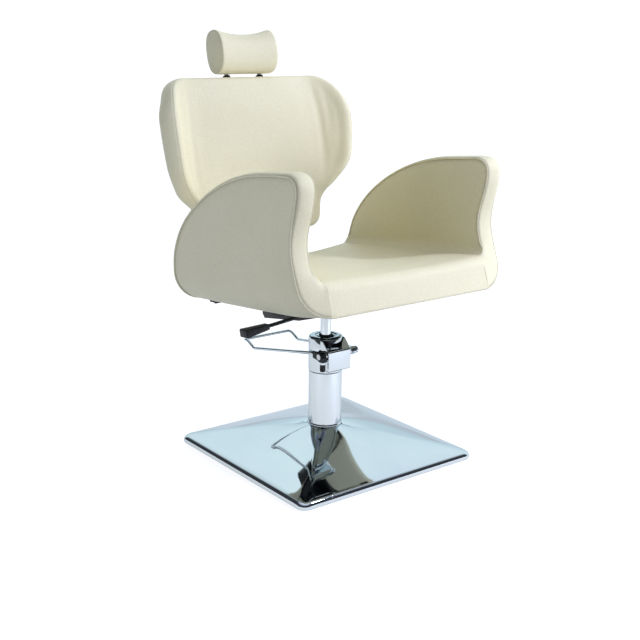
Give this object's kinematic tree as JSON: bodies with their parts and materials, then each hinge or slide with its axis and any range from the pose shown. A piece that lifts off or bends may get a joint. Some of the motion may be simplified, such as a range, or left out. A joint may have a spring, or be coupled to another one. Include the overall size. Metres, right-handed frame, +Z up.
{
  "type": "barber chair",
  "caption": "Cream upholstered barber chair with sliding headrest and winged reclining back on a chromed hydraulic column and square base.",
  "frame": {"origin": "on the floor under the column's axis", "axes": "+Z up along the column, -Y the way the sitter faces, -X the sitter's right"},
  "size_m": [0.672, 0.8183, 1.1604],
  "materials": {
    "leather": "soft cream upholstery leather with a low sheen",
    "chrome": "bright mirror chrome",
    "steel": "plain machined steel",
    "black_steel": "black painted steel",
    "black_plastic": "black moulded plastic",
    "rubber": "matt black rubber",
    "plywood": "unfinished plywood",
    "cast_iron": "rough iron plate"
  },
  "bodies": {
    "base": {"floor_pad": "rubber", "ballast_plate": "cast_iron", "base_cover": "chrome", "pump_cylinder": "steel", "column_cover": "chrome", "pump_head": "chrome", "gland_seal": "rubber", "plunger_bush": "steel"},
    "lift": {"piston_rod": "chrome"},
    "seat": {"seat_socket": "steel", "seat_plate": "black_steel", "mechanism_housing": "black_steel", "front_strap": "black_steel", "rear_strap": "black_steel", "seat_bolt_front_right": "steel", "seat_bolt_front_left": "steel", "seat_bolt_rear_right": "steel", "seat_bolt_rear_left": "steel", "arm_bolt_front_right": "steel", "arm_bolt_front_left": "steel", "arm_bolt_rear_right": "steel", "arm_bolt_rear_left": "steel", "seat_board": "plywood", "seat_cushion": "leather", "arm_pad_right": "leather", "arm_pad_left": "leather", "arm_panel_right": "leather", "arm_panel_left": "leather", "arm_board_right": "plywood", "arm_board_left": "plywood", "lever_bush": "black_plastic", "spring_pin": "steel", "hinge_pin": "steel"},
    "lever": {"recline_lever": "black_steel", "recline_grip": "black_plastic"},
    "spring_cylinder": {"gas_spring_tube": "black_steel"},
    "spring_rod": {"gas_spring_rod": "chrome"},
    "back": {"back_bracket": "black_steel", "crank_pin": "steel", "back_bolt_low": "steel", "back_bolt_high": "steel", "back_pad": "leather", "back_board": "plywood", "back_cover": "leather", "headrest_guide_right": "chrome", "headrest_guide_left": "chrome"},
    "headrest": {"headrest_post_right": "chrome", "headrest_post_left": "chrome", "headrest_core": "plywood", "headrest_pad": "leather", "headrest_end_right": "leather", "headrest_end_left": "leather"},
    "pedal": {"pedal_shaft": "steel", "shaft_knob": "chrome", "pedal_hub_right": "black_steel", "pedal_hub_left": "chrome", "pedal_loop": "chrome", "stop_screw": "chrome", "stop_bumper": "rubber"},
    "plunger": {"pump_plunger": "steel"}
  },
  "joints": [
    {"name": "seat_lift", "type": "slide", "parent": "base", "child": "lift", "axis": [0, 0, 1], "range_m": [0, 0.15]},
    {"name": "seat_swivel", "type": "hinge", "parent": "lift", "child": "seat", "pos_m": [0, 0, 0.41], "axis": [0, 0, 1], "continuous": true},
    {"name": "recline", "type": "hinge", "parent": "seat", "child": "back", "pos_m": [0, 0.20176, 0.41954], "axis": [-1, 0, 0], "range_deg": [0, 40]},
    {"name": "spring_swing", "type": "hinge", "parent": "seat", "child": "spring_cylinder", "pos_m": [0, -0.1216, 0.45215], "axis": [-1, 0, 0], "range_deg": [0, 0.5]},
    {"name": "spring_stroke", "type": "slide", "parent": "spring_cylinder", "child": "spring_rod", "axis": [0, -0.981, 0.1939], "range_m": [0, 0.0236]},
    {"name": "headrest_slide", "type": "slide", "parent": "back", "child": "headrest", "axis": [0, 0.225, 0.9744], "range_m": [0, 0.1]},
    {"name": "lever_tip", "type": "hinge", "parent": "seat", "child": "lever", "pos_m": [-0.1085, -0.08703, 0.44615], "axis": [0, 0.995, -0.1004], "range_deg": [0, 8], "stiffness_Nm_per_rad": 4, "springref_deg": -6.88},
    {"name": "pedal_pivot", "type": "hinge", "parent": "base", "child": "pedal", "pos_m": [0, -0.05, 0.303], "axis": [-1, 0, 0], "range_deg": [0, 15], "stiffness_Nm_per_rad": 8, "springref_deg": -20.05},
    {"name": "plunger_stroke", "type": "slide", "parent": "base", "child": "plunger", "axis": [0, 0, -1], "range_m": [0, 0.0062]}
  ],
  "couplings": [
    {"joint": "spring_swing", "follows": "recline", "ratio": 0.01},
    {"joint": "spring_stroke", "follows": "recline", "m_per_rad": 0.03316},
    {"joint": "plunger_stroke", "follows": "pedal_pivot", "m_per_rad": 0.0229}
  ]
}
